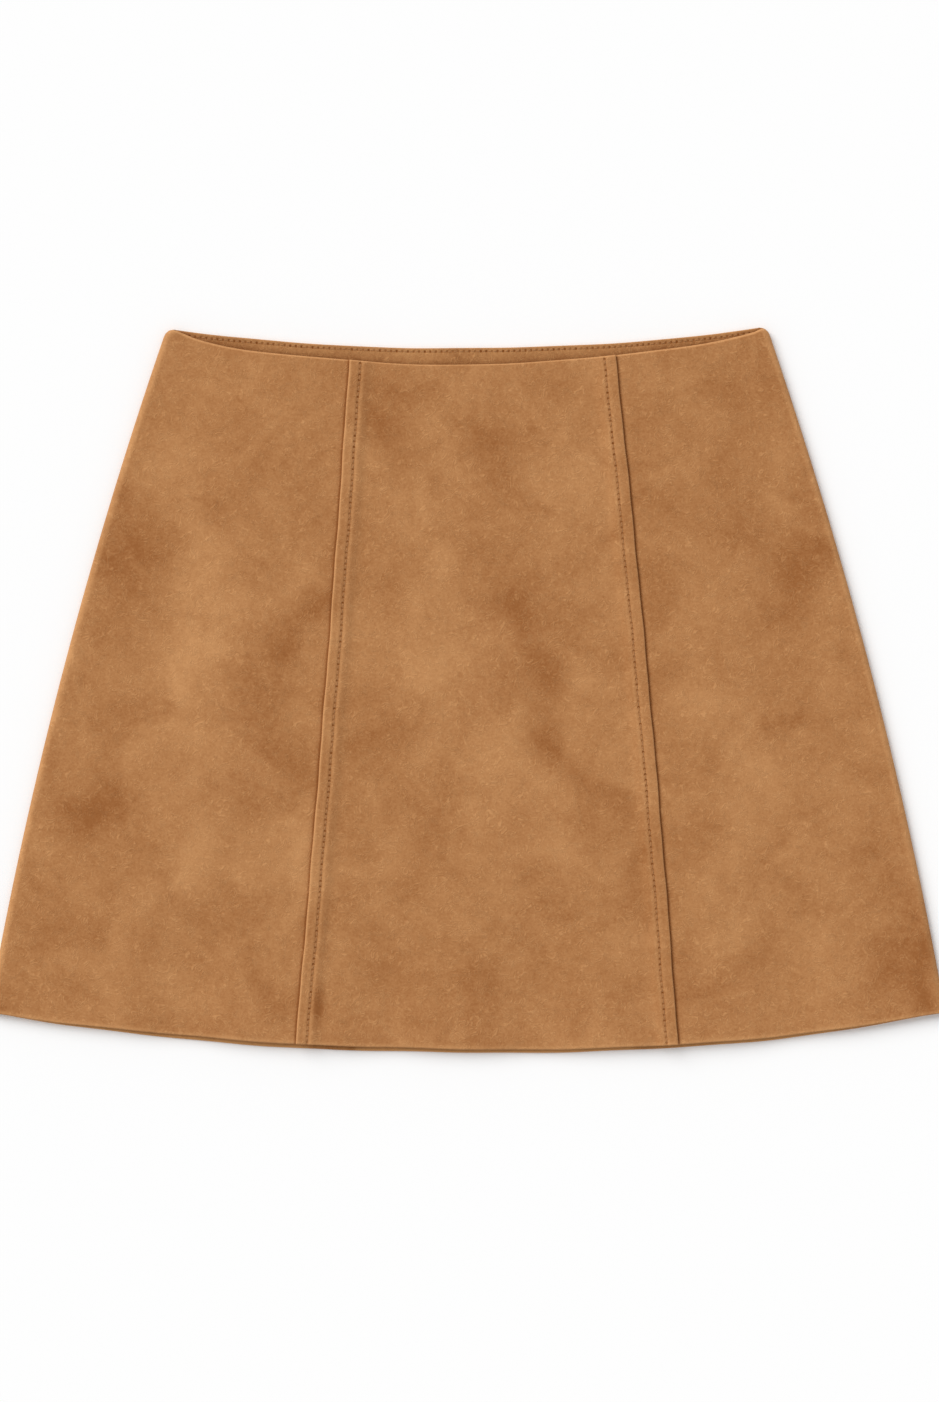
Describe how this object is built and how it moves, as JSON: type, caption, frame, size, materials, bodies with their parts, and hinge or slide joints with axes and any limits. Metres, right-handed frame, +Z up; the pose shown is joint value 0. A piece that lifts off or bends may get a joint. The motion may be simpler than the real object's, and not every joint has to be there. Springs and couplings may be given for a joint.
{
  "type": "skort",
  "caption": "A-line suede mini skort, laid flat, with lapped and topstitched front seams, a faced waist and plain inner shorts.",
  "frame": {"origin": "under the middle of the garment's outline, on the surface that it lies on", "axes": "+X to the right across the garment as seen from above, +Y from hem to waist, +Z up from the surface, front uppermost"},
  "size_m": [0.566, 0.4272, 0.0098],
  "materials": {
    "front_suede": "matte brushed nap",
    "back_suede": "matte brushed nap",
    "facing_suede": "matte brushed nap, stitched",
    "shorts_jersey": "plain fine knit"
  },
  "bodies": {
    "root": {"back_panel": "back_suede", "back_waist_facing": "facing_suede", "front_waist_facing": "facing_suede", "front_left_panel": "front_suede", "front_right_panel": "front_suede", "front_centre_panel": "front_suede", "shorts_back_left": "shorts_jersey", "shorts_back_right": "shorts_jersey", "shorts_front_left": "shorts_jersey", "shorts_front_right": "shorts_jersey"}
  },
  "joints": []
}
